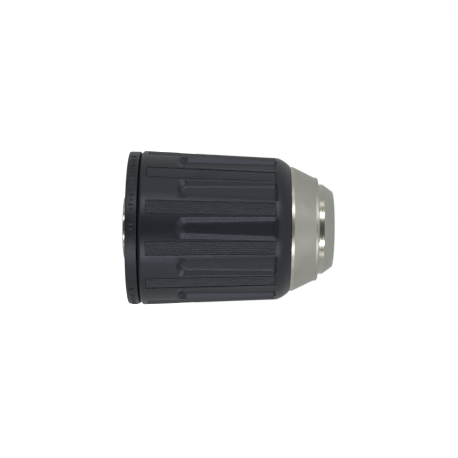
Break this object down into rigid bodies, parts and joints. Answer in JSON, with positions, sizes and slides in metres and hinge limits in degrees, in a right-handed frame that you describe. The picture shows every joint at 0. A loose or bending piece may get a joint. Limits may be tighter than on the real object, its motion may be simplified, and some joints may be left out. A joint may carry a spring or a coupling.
{
  "type": "keyless drill chuck",
  "caption": "Keyless drill chuck with one fluted plastic sleeve, conical steel nosepiece, three self-centring jaws, split nut and ball thrust bearing.",
  "frame": {"origin": "centre of the rear hub face, on the chuck's axis", "axes": "+Z along the chuck's axis towards the nose; one flute faces each of -X, +X, -Y and +Y; jaw 1 lies on the +Y side"},
  "size_m": [0.043, 0.043, 0.058],
  "materials": {
    "body_steel": "turned, bright",
    "nickel_plate": "satin nickel plate",
    "black_nylon": "moulded, glass-filled nylon, fine grain",
    "jaw_steel": "hardened and ground",
    "nut_steel": "turned, oiled",
    "bearing_steel": "hardened and ground",
    "ball_steel": "polished",
    "cage_brass": "stamped",
    "spring_steel": "blued"
  },
  "bodies": {
    "body": {"chuck_body": "body_steel", "nosepiece": "nickel_plate", "rear_ring": "black_nylon", "race_rear": "bearing_steel"},
    "sleeve": {"outer_sleeve": "black_nylon", "nut_half_a": "nut_steel", "nut_half_b": "nut_steel", "nut_band": "nut_steel", "race_front": "bearing_steel", "ratchet_spring": "spring_steel"},
    "cage": {"ball_cage": "cage_brass", "ball_1": "ball_steel", "ball_2": "ball_steel", "ball_3": "ball_steel", "ball_4": "ball_steel", "ball_5": "ball_steel", "ball_6": "ball_steel", "ball_7": "ball_steel", "ball_8": "ball_steel", "ball_9": "ball_steel", "ball_10": "ball_steel", "ball_11": "ball_steel", "ball_12": "ball_steel", "ball_13": "ball_steel", "ball_14": "ball_steel", "ball_15": "ball_steel", "ball_16": "ball_steel", "ball_17": "ball_steel", "ball_18": "ball_steel", "ball_19": "ball_steel", "ball_20": "ball_steel", "ball_21": "ball_steel", "ball_22": "ball_steel", "ball_23": "ball_steel", "ball_24": "ball_steel"},
    "jaw_1": {"jaw_1": "jaw_steel"},
    "jaw_2": {"jaw_2": "jaw_steel"},
    "jaw_3": {"jaw_3": "jaw_steel"}
  },
  "joints": [
    {"name": "sleeve_turn", "type": "hinge", "parent": "body", "child": "sleeve", "pos_m": [0, 0, 0.025], "axis": [0, 0, -1], "range_deg": [0, 3704]},
    {"name": "cage_turn", "type": "hinge", "parent": "body", "child": "cage", "pos_m": [0, 0, 0.0355], "axis": [0, 0, -1], "range_deg": [0, 1852]},
    {"name": "jaw_1_slide", "type": "slide", "parent": "body", "child": "jaw_1", "axis": [0, -0.2672, 0.9636], "range_m": [0, 0.02059]},
    {"name": "jaw_2_slide", "type": "slide", "parent": "body", "child": "jaw_2", "axis": [0.2314, 0.1336, 0.9636], "range_m": [0, 0.02059]},
    {"name": "jaw_3_slide", "type": "slide", "parent": "body", "child": "jaw_3", "axis": [-0.2314, 0.1336, 0.9636], "range_m": [0, 0.02059]}
  ],
  "couplings": [
    {"joint": "cage_turn", "follows": "sleeve_turn", "ratio": 0.5},
    {"joint": "jaw_1_slide", "follows": "sleeve_turn", "m_per_rad": 0.00031831},
    {"joint": "jaw_2_slide", "follows": "sleeve_turn", "m_per_rad": 0.00031831},
    {"joint": "jaw_3_slide", "follows": "sleeve_turn", "m_per_rad": 0.00031831}
  ]
}
